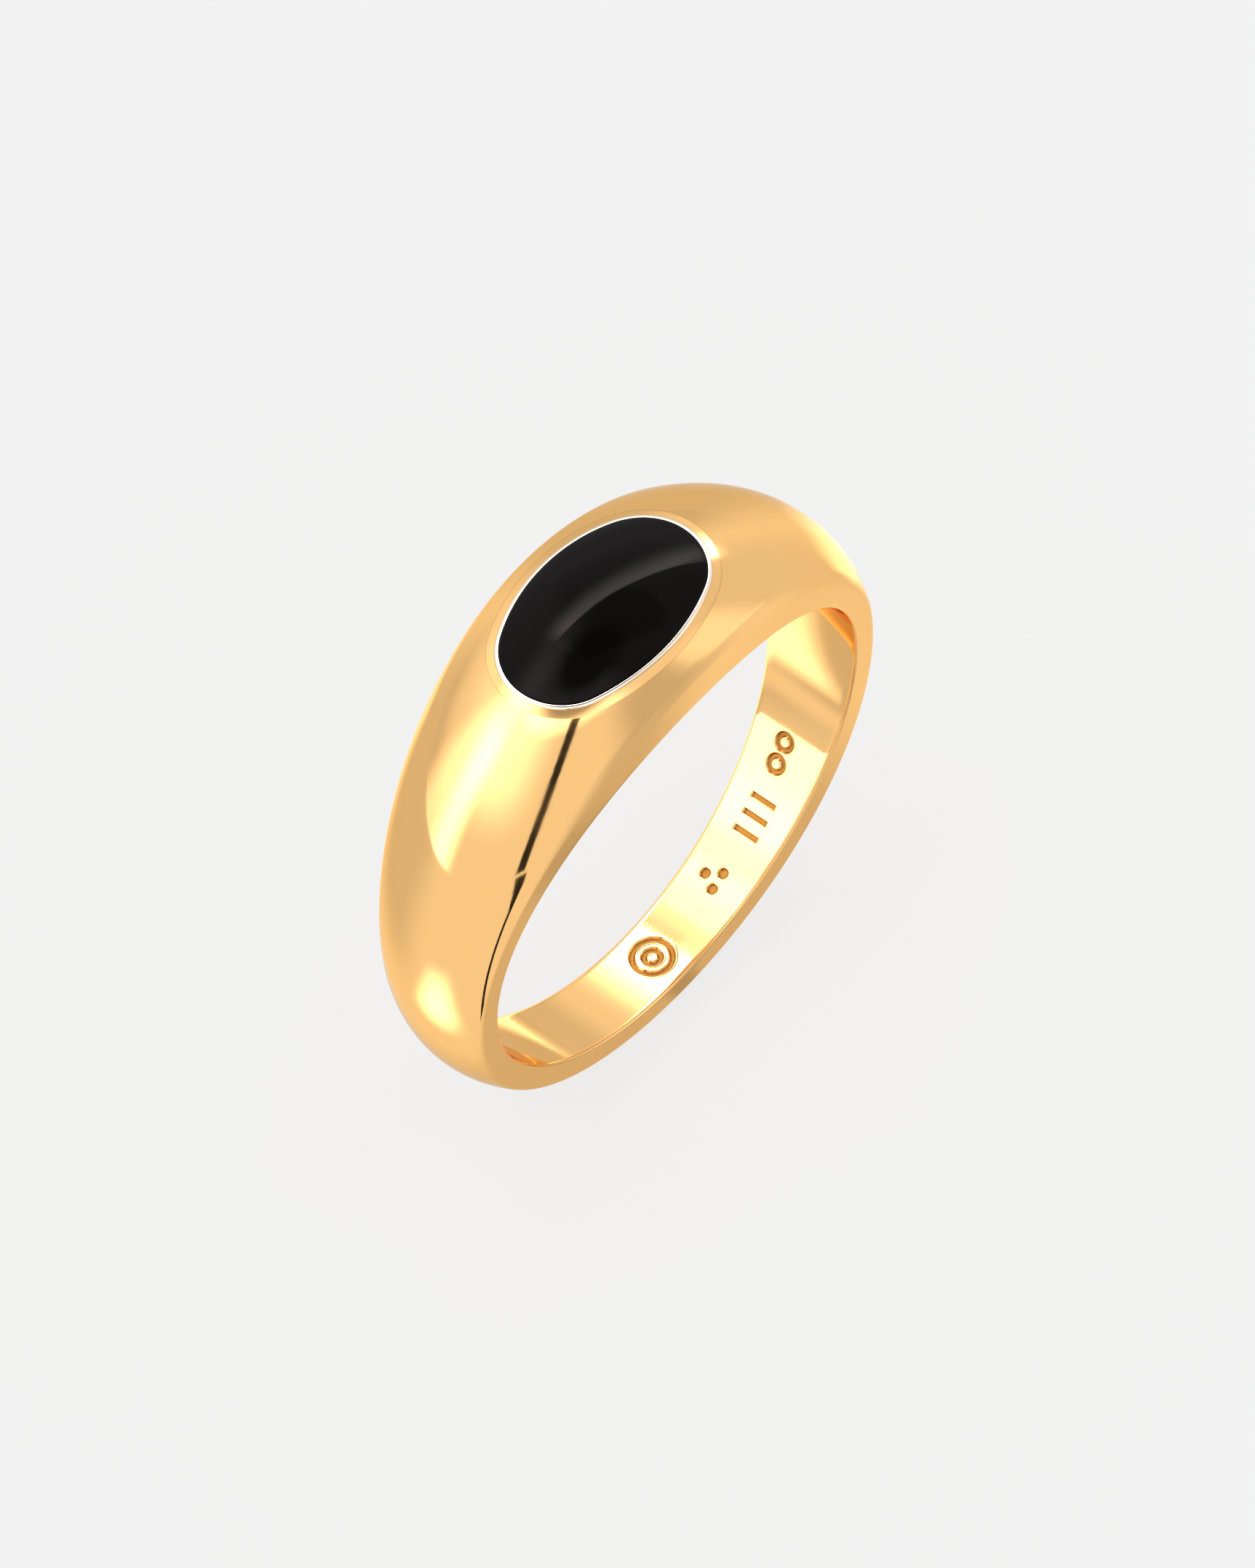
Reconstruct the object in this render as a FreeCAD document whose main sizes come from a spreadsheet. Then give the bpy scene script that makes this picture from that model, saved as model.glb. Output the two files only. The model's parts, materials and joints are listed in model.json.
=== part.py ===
"""Signet ring: a cast metal ring with an oval black stone bedded flush in its domed head.

Frame: the origin is the centre of the finger bore. The Y axis is the finger axis, +Z points from the
bore to the middle of the stone, and X runs across the ring. Sizes are in millimetres.
"""

import FreeCAD, Part

import math
import os

import Sketcher

os.makedirs("parts", exist_ok=True)
doc = FreeCAD.newDocument("signet_ring")

# ---------------------------------------------------------------------------------------------
# Driving dimensions: each alias becomes a cell of the sheet that holds a plain number.

SIZES = {
    # the hole that the finger goes through, and the rounding of its two edges
    "bore_radius": 9.05,
    "bore_edge_round": 0.12,
    # the metal's section at the stone, and at the back of the finger: its width along the finger, its
    # thickness from the bore to the top of the crown, the radius of the crown's arc, and the rounding
    # between that arc and the flat side
    "head_width": 7.45,
    "head_thickness": 3.10,
    "head_crown": 5.3,
    "head_round": 0.78,
    "base_width": 2.62,
    "base_thickness": 1.08,
    "base_crown": 2.93,
    "base_round": 0.13,
    # the sections between those two, from the stone to the back of the finger: how much of the
    # difference in width and in thickness between base and head is still there, then crown and round
    "brow_width_share": 0.921,
    "brow_thickness_share": 0.901,
    "brow_crown": 5.06,
    "brow_round": 0.75,
    "shoulder_width_share": 0.729,
    "shoulder_thickness_share": 0.658,
    "shoulder_crown": 4.5,
    "shoulder_round": 0.68,
    "neck_width_share": 0.503,
    "neck_thickness_share": 0.416,
    "neck_crown": 3.87,
    "neck_round": 0.57,
    "flank_width_share": 0.313,
    "flank_thickness_share": 0.252,
    "flank_crown": 3.5,
    "flank_round": 0.44,
    "waist_width_share": 0.178,
    "waist_thickness_share": 0.163,
    "waist_crown": 3.45,
    "waist_round": 0.32,
    "shank_width_share": 0.083,
    "shank_thickness_share": 0.094,
    "shank_crown": 3.34,
    "shank_round": 0.21,
    "heel_width_share": 0.023,
    "heel_thickness_share": 0.030,
    "heel_crown": 3.09,
    "heel_round": 0.15,
    # the oval stone: how far its top lies under the crown, and the gap between it and the metal
    "stone_length": 8.12,
    "stone_width": 5.20,
    "stone_end_radius": 2.20,
    "stone_sink": 0.04,
    "stone_gap": 0.04,
    # the flat floor of the recess, measured up from the top of the bore, and the cement on it
    "floor_thickness": 1.25,
    "cement_thickness": 0.10,
    "rim_round": 0.06,
    # the punched marks inside the bore
    "mark_depth": 0.10,
    "mark_stroke": 0.17,
}

sheet = doc.addObject("Spreadsheet::Sheet", "sizes")
for row, (alias, value) in enumerate(SIZES.items(), start=1):
    sheet.set(f"A{row}", alias)
    sheet.set(f"B{row}", str(value))
    sheet.setAlias(f"B{row}", alias)
doc.recompute()

ALONG_X = FreeCAD.Vector(1, 0, 0)
ALONG_Y = FreeCAD.Vector(0, 1, 0)
ALONG_Z = FreeCAD.Vector(0, 0, 1)
CENTRE = FreeCAD.Vector(0, 0, 0)


# ---------------------------------------------------------------------------------------------
# Sketches and the features that use them


def plane(body, role):
    """One of a body's own origin planes."""
    return next(feature for feature in body.Origin.OriginFeatures if feature.Role == role)


def new_sketch(body, name, role, offset=CENTRE, axis=ALONG_X, angle=0.0):
    """A sketch on one of the body's origin planes, moved by offset and turned about axis."""
    sketch = body.newObject("Sketcher::SketchObject", name)
    sketch.AttachmentSupport = [(plane(body, role), "")]
    sketch.MapMode = "FlatFace"
    sketch.AttachmentOffset = FreeCAD.Placement(offset, FreeCAD.Rotation(axis, angle))
    return sketch


def add(sketch, *constraint):
    """Add a constraint between parts of a sketch."""
    return sketch.addConstraint(Sketcher.Constraint(*constraint))


def drive(sketch, name, expression, *constraint):
    """Add a sized constraint that follows an expression of the sheet's cells."""
    sketch.renameConstraint(add(sketch, *constraint), name)
    sketch.setExpression(f"Constraints.{name}", expression)


def arc(x, y, radius, start, end):
    """An arc in a sketch, counter-clockwise from start to end in radians."""
    circle = Part.Circle(FreeCAD.Vector(x, y, 0), ALONG_Z, radius)
    return Part.ArcOfCircle(circle, start, end)


def outline(sketch, corners):
    """A closed outline of straight lines through the corners, held where it is drawn."""
    for start, end in zip(corners, corners[1:] + corners[:1]):
        line = sketch.addGeometry(
            Part.LineSegment(FreeCAD.Vector(*start, 0), FreeCAD.Vector(*end, 0))
        )
        add(sketch, "Block", line)


def pocket(body, sketch, name, both_ways=False, upwards=False, length=""):
    """Cut a sketch's area out of the body, right through it or to a length."""
    before = body.Shape.Volume
    cut = body.newObject("PartDesign::Pocket", name)
    cut.Profile = sketch
    cut.Midplane = both_ways
    cut.Reversed = upwards
    cut.Type = "Length" if length else "ThroughAll"
    if length:
        cut.setExpression("Length", length)
    doc.recompute()
    if not body.Shape.Volume < before:
        raise RuntimeError(f"{name} cuts nothing")
    return cut


# ---------------------------------------------------------------------------------------------
# The ring's outer form: sections at even steps round the finger axis, joined by a loft

STATION_STEP = 22.5
STATIONS = ("head", "brow", "shoulder", "neck", "flank", "waist", "shank", "heel", "base")
# Each place is counted in steps from the head, and those on the -X side of it are negative.
ALL_ROUND = range(2 * (len(STATIONS) - 1))
HEAD_ONLY = range(-3, 4)
INNER_MARGIN = 1.5  # how far the form reaches into the bore before the bore is cut
BEYOND = 40.0       # further than the ring reaches in any direction


def station_size(station, size):
    """A station's width or thickness: its number, and the expression of cells that drives it."""
    if f"{station}_{size}" in SIZES:
        return SIZES[f"{station}_{size}"], f"sizes.{station}_{size}"
    difference = SIZES[f"head_{size}"] - SIZES[f"base_{size}"]
    number = SIZES[f"base_{size}"] + difference * SIZES[f"{station}_{size}_share"]
    share = f"sizes.{station}_{size}_share"
    return number, f"(sizes.base_{size} + (sizes.head_{size} - sizes.base_{size}) * {share})"


def section_sketch(body, place, lowered):
    """The metal's section at one place: flat sides, a rounded edge on each, and a crown arc.

    The sketch's x runs along the finger axis and its y points away from that axis. lowered is
    taken off the crown's height.
    """
    station = STATIONS[min(place % len(ALL_ROUND), -place % len(ALL_ROUND))]
    angle = place * STATION_STEP
    width, width_cells = station_size(station, "width")
    thickness, thickness_cells = station_size(station, "thickness")
    half = width / 2
    crown = SIZES[f"{station}_crown"]
    edge_round = SIZES[f"{station}_round"]
    inside = SIZES["bore_radius"] - INNER_MARGIN
    crown_centre = SIZES["bore_radius"] + thickness - crown
    across = half - edge_round
    rise = math.sqrt((crown - edge_round) ** 2 - across ** 2)
    lean = math.atan2(rise, across)
    side_top = crown_centre + rise

    sketch = new_sketch(body, f"section_{station}", "YZ_Plane", axis=ALONG_X, angle=angle)
    corners = [
        FreeCAD.Vector(-half, inside, 0),
        FreeCAD.Vector(half, inside, 0),
        FreeCAD.Vector(half, side_top, 0),
        FreeCAD.Vector(-half, side_top, 0),
    ]
    inner = sketch.addGeometry(Part.LineSegment(corners[0], corners[1]))
    right = sketch.addGeometry(Part.LineSegment(corners[1], corners[2]))
    right_round = sketch.addGeometry(arc(across, side_top, edge_round, 0, lean))
    top = sketch.addGeometry(arc(0, crown_centre, crown, lean, math.pi - lean))
    left_round = sketch.addGeometry(arc(-across, side_top, edge_round, math.pi - lean, math.pi))
    left = sketch.addGeometry(Part.LineSegment(corners[3], corners[0]))

    add(sketch, "Coincident", inner, 2, right, 1)
    add(sketch, "Coincident", left, 2, inner, 1)
    add(sketch, "Tangent", right, 2, right_round, 1)
    add(sketch, "Tangent", right_round, 2, top, 1)
    add(sketch, "Tangent", top, 2, left_round, 1)
    add(sketch, "Tangent", left_round, 2, left, 1)
    add(sketch, "Vertical", right)
    add(sketch, "Vertical", left)
    add(sketch, "Symmetric", inner, 1, inner, 2, -2)
    add(sketch, "Equal", right_round, left_round)
    add(sketch, "PointOnObject", top, 3, -2)
    drive(sketch, "width", width_cells, "DistanceX", inner, 1, inner, 2, width)
    drive(sketch, "edge_round", f"sizes.{station}_round", "Radius", right_round, edge_round)
    drive(sketch, "crown", f"sizes.{station}_crown", "Radius", top, crown)
    drive(
        sketch,
        "inside",
        f"sizes.bore_radius - {INNER_MARGIN}",
        *("DistanceY", -1, 1, inner, 1, inside),
    )
    drive(
        sketch,
        "crown_centre",
        f"sizes.bore_radius + {thickness_cells} - sizes.{station}_crown - {lowered}",
        *("DistanceY", -1, 1, top, 3, crown_centre),
    )
    return sketch


def lofted_form(body, places, closed=False, lowered="0"):
    """Loft a body through the sections at these places, and back to the first one if closed."""
    sketches = [section_sketch(body, place, lowered) for place in places]
    loft = body.newObject("PartDesign::AdditiveLoft", f"{body.Name}_form")
    loft.Profile = sketches[0]
    loft.Sections = sketches[1:]
    loft.Closed = closed
    doc.recompute()


def oval_sketch(body, name, height, margin="0", cut_outside=False):
    """The stone's oval of four tangent arcs, seen from above and grown by margin.

    height is where the sketch lies above the origin. cut_outside adds a square far outside the
    oval, so that the area between the two is what a pocket cuts.
    """
    half_length = SIZES["stone_length"] / 2
    half_width = SIZES["stone_width"] / 2
    end = SIZES["stone_end_radius"]
    end_centre = half_length - end
    side = (end_centre ** 2 + half_width ** 2 - end ** 2) / (2 * (half_width - end))
    side_centre = side - half_width
    lean = math.atan2(side_centre, end_centre)

    sketch = new_sketch(body, name, "XY_Plane")
    sketch.setExpression(".AttachmentOffset.Base.z", height)
    right = sketch.addGeometry(arc(end_centre, 0, end, -lean, lean))
    upper = sketch.addGeometry(arc(0, -side_centre, side, lean, math.pi - lean))
    left = sketch.addGeometry(arc(-end_centre, 0, end, math.pi - lean, math.pi + lean))
    lower = sketch.addGeometry(arc(0, side_centre, side, math.pi + lean, 2 * math.pi - lean))
    add(sketch, "Tangent", right, 2, upper, 1)
    add(sketch, "Coincident", upper, 2, left, 1)
    add(sketch, "Coincident", left, 2, lower, 1)
    add(sketch, "Coincident", lower, 2, right, 1)
    add(sketch, "Symmetric", right, 1, right, 2, -1)
    add(sketch, "Symmetric", right, 2, left, 1, -2)
    add(sketch, "Symmetric", left, 2, right, 1, -2)
    add(sketch, "Equal", right, left)
    add(sketch, "Equal", upper, lower)
    along = "(sizes.stone_length / 2 - sizes.stone_end_radius)"
    across = "(sizes.stone_width / 2)"
    end_radius = "sizes.stone_end_radius"
    squares = f"({along} * {along} + {across} * {across} - {end_radius} * {end_radius})"
    side_radius = f"{squares} / (2 * ({across} - {end_radius}))"
    drive(sketch, "end_centre", along, "DistanceX", -1, 1, right, 3, end_centre)
    drive(sketch, "end_radius", f"{end_radius} + {margin}", "Radius", right, end)
    drive(sketch, "side_radius", f"{side_radius} + {margin}", "Radius", upper, side)
    if cut_outside:
        outline(
            sketch,
            [(-BEYOND, -BEYOND), (BEYOND, -BEYOND), (BEYOND, BEYOND), (-BEYOND, BEYOND)],
        )
    return sketch


# ---------------------------------------------------------------------------------------------
# Punched marks: plain rings, bars and dots on the inside of the bore

MARK_ANGLES = {"twin_rings": 128.0, "three_bars": 143.0, "three_dots": 158.5, "round_seal": 180.0}


def mark_sketch(body, name):
    """A sketch on the plane through the finger axis that faces a mark's place on the bore."""
    return new_sketch(body, name, "XY_Plane", axis=ALONG_Y, angle=MARK_ANGLES[name])


def circle(sketch, name, x, y, radius, expression):
    """A circle held at a point of the sketch, with its radius driven by an expression."""
    index = sketch.addGeometry(Part.Circle(FreeCAD.Vector(x, y, 0), ALONG_Z, radius))
    add(sketch, "DistanceX", -1, 1, index, 3, x)
    add(sketch, "DistanceY", -1, 1, index, 3, y)
    drive(sketch, name, expression, "Radius", index, radius)


def ring_mark(sketch, name, x, y, radius):
    """A ring of one stroke's width whose middle line has this radius."""
    stroke = SIZES["mark_stroke"]
    circle(sketch, f"{name}_outer", x, y, radius + stroke / 2, f"{radius} + sizes.mark_stroke / 2")
    circle(sketch, f"{name}_inner", x, y, radius - stroke / 2, f"{radius} - sizes.mark_stroke / 2")


def punch(body, sketch):
    """Sink a mark's sketch into the bore wall."""
    return pocket(
        body, sketch, f"{sketch.Name}_cut", upwards=True, length="sizes.bore_radius + sizes.mark_depth"
    )


def punch_marks(body):
    """All the marks, each at its own angle round the bore."""
    sketch = mark_sketch(body, "twin_rings")
    ring_mark(sketch, "first", -0.42, 0.15, 0.28)
    ring_mark(sketch, "second", 0.42, 0.15, 0.28)
    punch(body, sketch)

    sketch = mark_sketch(body, "three_bars")
    bar_half_length = 0.48
    bar_spacing = 0.62
    half_stroke = SIZES["mark_stroke"] / 2
    for place in (-1, 0, 1):
        middle = place * bar_spacing
        outline(
            sketch,
            [
                (middle - half_stroke, -bar_half_length),
                (middle + half_stroke, -bar_half_length),
                (middle + half_stroke, bar_half_length),
                (middle - half_stroke, bar_half_length),
            ],
        )
    punch(body, sketch)

    sketch = mark_sketch(body, "three_dots")
    for number, turn in enumerate((90.0, 210.0, 330.0)):
        x = 0.36 * math.cos(math.radians(turn))
        y = 0.36 * math.sin(math.radians(turn)) + 0.1
        circle(sketch, f"dot{number}", x, y, SIZES["mark_stroke"], "sizes.mark_stroke")
    punch(body, sketch)

    sketch = mark_sketch(body, "round_seal")
    ring_mark(sketch, "rim", 0, 0, 0.68)
    ring_mark(sketch, "eye", 0, 0, 0.28)
    punch(body, sketch)


# ---------------------------------------------------------------------------------------------
# The three pieces


ON_SURFACE = 0.001  # how near a point lies to the surface or plane that it is on
SAMPLES = 9         # points tested along an edge
FLOOR_HEIGHT = "sizes.bore_radius + sizes.floor_thickness"
SEAT_HEIGHT = f"{FLOOR_HEIGHT} + sizes.cement_thickness"


def edges_where(shape, test):
    """The names of the edges whose points all pass the test, apart from those on the YZ plane.

    Edges on the YZ plane are where the loft starts and ends.
    """
    names = []
    for number, edge in enumerate(shape.Edges, start=1):
        points = edge.discretize(SAMPLES)
        on_seam = max(abs(point.x) for point in points) < ON_SURFACE
        if all(test(point) for point in points) and not on_seam:
            names.append(f"Edge{number}")
    return names


def round_edges(body, cut, name, edges, radius):
    """Round these edges of a cut."""
    fillet = body.newObject("PartDesign::Fillet", name)
    fillet.Base = (cut, edges)
    fillet.setExpression("Radius", radius)
    doc.recompute()


def make_ring_body():
    """The cast metal: lofted all round, bored, rounded, recessed and marked."""
    body = doc.addObject("PartDesign::Body", "ring_body")
    lofted_form(body, ALL_ROUND, closed=True)
    bore = new_sketch(body, "bore_outline", "XZ_Plane")
    circle(bore, "radius", 0, 0, SIZES["bore_radius"], "sizes.bore_radius")
    bore_cut = pocket(body, bore, "bore", both_ways=True)

    bore_radius = SIZES["bore_radius"]
    edges = edges_where(
        body.Shape, lambda point: abs(math.hypot(point.x, point.z) - bore_radius) < ON_SURFACE
    )
    round_edges(body, bore_cut, "bore_edges", edges, "sizes.bore_edge_round")

    recess = oval_sketch(body, "recess_outline", FLOOR_HEIGHT, margin="sizes.stone_gap")
    recess_cut = pocket(body, recess, "recess", upwards=True)

    reach_x = SIZES["stone_length"] / 2 + SIZES["stone_gap"] + ON_SURFACE
    reach_y = SIZES["stone_width"] / 2 + SIZES["stone_gap"] + ON_SURFACE
    above = SIZES["bore_radius"] + SIZES["floor_thickness"] + ON_SURFACE
    rim = edges_where(
        body.Shape,
        lambda point: abs(point.x) < reach_x and abs(point.y) < reach_y and point.z > above,
    )
    round_edges(body, recess_cut, "rim_edge", rim, "sizes.rim_round")

    punch_marks(body)
    return body


def make_black_inlay():
    """The oval stone: a flat back, straight sides and a top that follows the metal's crown."""
    body = doc.addObject("PartDesign::Body", "black_inlay")
    lofted_form(body, HEAD_ONLY, lowered="sizes.stone_sink")
    girdle = oval_sketch(body, "stone_outline", SEAT_HEIGHT, cut_outside=True)
    pocket(body, girdle, "girdle", both_ways=True)
    back = new_sketch(body, "back_outline", "XY_Plane")
    back.setExpression(".AttachmentOffset.Base.z", SEAT_HEIGHT)
    outline(back, [(-BEYOND, -BEYOND), (BEYOND, -BEYOND), (BEYOND, BEYOND), (-BEYOND, BEYOND)])
    pocket(body, back, "flat_back")
    return body


def make_inlay_cement():
    """The thin bed of cement between the recess floor and the stone's flat back."""
    body = doc.addObject("PartDesign::Body", "inlay_cement")
    bed = oval_sketch(body, "bed_outline", FLOOR_HEIGHT)
    pad = body.newObject("PartDesign::Pad", "bed")
    pad.Profile = bed
    pad.setExpression("Length", "sizes.cement_thickness")
    doc.recompute()
    return body


pieces = [make_ring_body(), make_black_inlay(), make_inlay_cement()]
doc.recompute()

for item in doc.Objects:
    if "Invalid" in item.State or "Error" in item.State:
        raise RuntimeError(f"{item.Name} failed: {item.State}")
for piece in pieces:
    if piece.Shape.isNull() or not piece.Shape.isValid():
        raise RuntimeError(f"{piece.Label} has no valid shape")
    piece.Shape.exportStep(f"parts/{piece.Label}.step")
    print(piece.Label, len(piece.Shape.Solids), "solid,", round(piece.Shape.Volume, 3), "mm3")
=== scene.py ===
"""Signet ring: a gold-plated casting with an oval black stone set flush in its domed head.

The frame is the CAD model's: metres, the origin at the centre of the finger bore, Y along the finger
and +Z up through the stone. Sizes below are in millimetres and become metres in the meshes.
"""

import math

import bmesh
import bpy
import numpy as np
from mathutils import Matrix, Vector
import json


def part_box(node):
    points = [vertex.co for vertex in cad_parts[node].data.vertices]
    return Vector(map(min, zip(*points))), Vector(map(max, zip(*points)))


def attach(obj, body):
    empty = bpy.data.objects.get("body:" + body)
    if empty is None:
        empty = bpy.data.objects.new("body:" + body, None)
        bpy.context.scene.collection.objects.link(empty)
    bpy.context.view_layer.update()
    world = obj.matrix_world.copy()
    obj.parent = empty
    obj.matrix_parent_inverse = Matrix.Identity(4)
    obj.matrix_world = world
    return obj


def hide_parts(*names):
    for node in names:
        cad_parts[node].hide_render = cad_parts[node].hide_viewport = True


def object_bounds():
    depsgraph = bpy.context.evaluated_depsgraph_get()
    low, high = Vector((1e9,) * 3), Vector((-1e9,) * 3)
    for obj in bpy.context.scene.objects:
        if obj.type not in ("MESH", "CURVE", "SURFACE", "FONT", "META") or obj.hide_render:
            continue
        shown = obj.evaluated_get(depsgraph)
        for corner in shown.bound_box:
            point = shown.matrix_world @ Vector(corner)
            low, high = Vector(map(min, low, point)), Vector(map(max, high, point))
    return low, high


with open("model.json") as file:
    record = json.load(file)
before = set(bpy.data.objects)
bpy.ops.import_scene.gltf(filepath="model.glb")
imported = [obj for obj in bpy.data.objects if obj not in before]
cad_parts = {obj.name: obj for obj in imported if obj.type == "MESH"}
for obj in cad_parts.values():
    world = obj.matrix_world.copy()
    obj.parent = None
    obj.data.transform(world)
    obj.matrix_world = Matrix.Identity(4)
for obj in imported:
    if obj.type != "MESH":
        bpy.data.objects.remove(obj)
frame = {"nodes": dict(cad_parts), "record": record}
cad_low, cad_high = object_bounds()

MM = 0.001

# ---------------------------------------------------------------------------------------------
# Ring body. One casting in silver, gold-plated and polished: a wide domed head that narrows evenly
# into a slim shank. The bore is plain, with its two edges broken. The lip round the stone is the
# casting's own metal, pushed over the stone's edge and dressed back with a flat bevel.

mount = next(item for item in frame["record"]["mounts"] if item["name"] == "finger_bore")
BORE_RADIUS = mount["dims"]["r_mm"]
BORE_EDGE_ROUND = 0.12

# The metal's section at even steps of angle, from the stone to the back of the finger
SECTION_WIDTH = (7.45, 7.07, 6.14, 5.05, 4.13, 3.48, 3.02, 2.73, 2.62)
SECTION_THICKNESS = (3.10, 2.90, 2.41, 1.92, 1.59, 1.41, 1.27, 1.14, 1.08)
CROWN_RADIUS = (5.30, 5.06, 4.50, 3.87, 3.50, 3.45, 3.34, 3.09, 2.93)
EDGE_ROUND = (0.78, 0.75, 0.68, 0.57, 0.44, 0.32, 0.21, 0.15, 0.13)

ORDERS = np.arange(len(SECTION_WIDTH))
STATION_ANGLES = ORDERS * math.pi / (len(SECTION_WIDTH) - 1)


def swell(values, angles):
    """A section size at these angles round the ring: a smooth even curve through the stations."""
    waves = np.linalg.solve(np.cos(np.outer(STATION_ANGLES, ORDERS)), np.array(values))
    return np.cos(np.multiply.outer(angles, ORDERS)) @ waves


def at(angle, radius, along):
    """The point at an angle from the stone, a distance from the finger axis and a place along it."""
    return np.stack([radius * np.sin(angle), along + 0 * angle, radius * np.cos(angle)], axis=-1)


def section(angles, crown_cells, round_cells, side_cells, edge_cells):
    """The outside of the section at each angle, from one bore edge over the crown to the other.

    Returns the points, their places along the finger, and the two columns where the crown's arc
    meets the rounded edges.
    """
    half = swell(SECTION_WIDTH, angles)[:, None] / 2
    crown = swell(CROWN_RADIUS, angles)[:, None]
    edge = swell(EDGE_ROUND, angles)[:, None]
    crown_centre = BORE_RADIUS + swell(SECTION_THICKNESS, angles)[:, None] - crown
    across = half - edge
    rise = np.sqrt((crown - edge) ** 2 - across**2)
    lean = np.arctan2(rise, across)
    side_top = crown_centre + rise
    side_foot = BORE_RADIUS + BORE_EDGE_ROUND

    share = np.linspace(0, 1, edge_cells + 1)[None, :-1]
    turn = (share - 1) * math.pi / 2
    foot_y = half - BORE_EDGE_ROUND + BORE_EDGE_ROUND * np.cos(turn)
    foot_r = side_foot + BORE_EDGE_ROUND * np.sin(turn) + 0 * half
    share = np.linspace(0, 1, side_cells + 1)[None, :-1]
    side_y = half + 0 * share
    side_r = side_foot + (side_top - side_foot) * share
    share = np.linspace(0, 1, round_cells + 1)[None, :-1]
    round_y = across + edge * np.cos(lean * share)
    round_r = side_top + edge * np.sin(lean * share)
    share = np.linspace(0, 1, crown_cells + 1)[None, :]
    crown_turn = lean + (math.pi - 2 * lean) * share
    crown_y = crown * np.cos(crown_turn)
    crown_r = crown_centre + crown * np.sin(crown_turn)

    rising_y = np.hstack([foot_y, side_y, round_y])
    rising_r = np.hstack([foot_r, side_r, round_r])
    y = np.hstack([rising_y, crown_y, -rising_y[:, ::-1]])
    r = np.hstack([rising_r, crown_r, rising_r[:, ::-1]])
    first = rising_y.shape[1]
    return at(angles[:, None] + 0 * y, r, y), y, (first, first + crown_cells)


def crown_angle(x, y):
    """The angle round the ring of the crown's point that stands over x and y in plan."""
    angle = np.arcsin(np.clip(x / (BORE_RADIUS + SECTION_THICKNESS[0]), -1, 1))
    for _ in range(14):
        angle = np.arcsin(np.clip(x / crown_distance(angle, y), -1, 1))
    return angle


def crown_distance(angle, y):
    """How far the crown lies from the finger axis."""
    crown = swell(CROWN_RADIUS, angle)
    centre = BORE_RADIUS + swell(SECTION_THICKNESS, angle) - crown
    return centre + np.sqrt(crown**2 - y**2)


def crown_point(x, y, lowered=0.0):
    """The point of the crown over x and y in plan, on a crown lowered by a distance."""
    angle = crown_angle(x, y)
    height = np.sqrt(crown_distance(angle, y) ** 2 - x**2)
    return np.stack([x, y, height - lowered], axis=-1)


def crown_normal(x, y):
    """The crown's outward direction over x and y in plan."""
    step = 0.01
    along_x = crown_point(x + step, y) - crown_point(x - step, y)
    along_y = crown_point(x, y + step) - crown_point(x, y - step)
    normal = np.cross(along_x, along_y)
    return normal / np.linalg.norm(normal, axis=-1, keepdims=True)


# The stone's oval in plan: two end arcs and two side arcs that run into one another
STONE_LENGTH = 8.12
STONE_WIDTH = 5.20
STONE_END_RADIUS = 2.20
STONE_GAP = 0.04


def oval(bearing):
    """Points of the stone's outline, and their outward directions, at bearings from its middle.

    A bearing is taken on the oval squeezed to a circle, so equal steps share out both arcs.
    """
    half_length, half_width, end = STONE_LENGTH / 2, STONE_WIDTH / 2, STONE_END_RADIUS
    end_centre = half_length - end
    side = (end_centre**2 + half_width**2 - end**2) / (2 * (half_width - end))
    side_centre = side - half_width
    lean = math.atan2(side_centre, end_centre)
    ray = np.stack([half_length * np.cos(bearing), half_width * np.sin(bearing)], axis=-1)
    sign = np.where(ray < 0, -1.0, 1.0)
    ray = np.abs(ray) / np.linalg.norm(ray, axis=-1, keepdims=True)
    centres = ((np.array([end_centre, 0.0]), end), (np.array([0.0, -side_centre]), side))
    hits = []
    for centre, radius in centres:
        toward = ray @ centre
        reach = toward + np.sqrt(toward**2 - centre @ centre + radius**2)
        point = ray * reach[..., None]
        hits.append((point, (point - centre) / radius))
    on_end = np.arctan2(hits[0][1][..., 1], hits[0][1][..., 0]) <= lean
    point = np.where(on_end[..., None], hits[0][0], hits[1][0])
    outward = np.where(on_end[..., None], hits[0][1], hits[1][1])
    return point * sign, outward * sign


def grid_faces(rows, columns, first=0, around=False, skip=None):
    """Faces of a grid of points, row by row, with the last row joined to the first if around."""
    last = rows if around else rows - 1
    row, column = np.meshgrid(np.arange(last), np.arange(columns - 1), indexing="ij")
    if skip is not None:
        keep = ~skip(row, column)
        row, column = row[keep], column[keep]
    row, column = row.ravel(), column.ravel()
    here = row * columns + column
    beyond = (row + 1) % rows * columns + column
    return (np.stack([here, here + 1, beyond + 1, beyond], axis=-1) + first).tolist()


WELD = 0.0004


def make_piece(name, points, faces, attributes=None):
    """A smooth-shaded mesh object from points in millimetres, with its doubled points welded."""
    mesh = bpy.data.meshes.new(name)
    mesh.from_pydata((np.asarray(points) * MM).tolist(), [], faces)
    for key, values in (attributes or {}).items():
        mesh.attributes.new(key, "FLOAT", "POINT").data.foreach_set("value", values)
    work = bmesh.new()
    work.from_mesh(mesh)
    bmesh.ops.remove_doubles(work, verts=work.verts, dist=WELD * MM)
    bmesh.ops.recalc_face_normals(work, faces=work.faces)
    for face in work.faces:
        face.smooth = True
    work.to_mesh(mesh)
    work.free()
    piece = bpy.data.objects.new(name, mesh)
    bpy.context.scene.collection.objects.link(piece)
    return piece


# The band: everything outside the bore apart from a window in the head, where the stone goes.
# Each step of angle is one degree.
ANGLE_STEPS = 360
CROWN_CELLS = 44
ROUND_CELLS = 12
SIDE_CELLS = 5
EDGE_CELLS = 6
WINDOW_STEPS = 34

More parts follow.
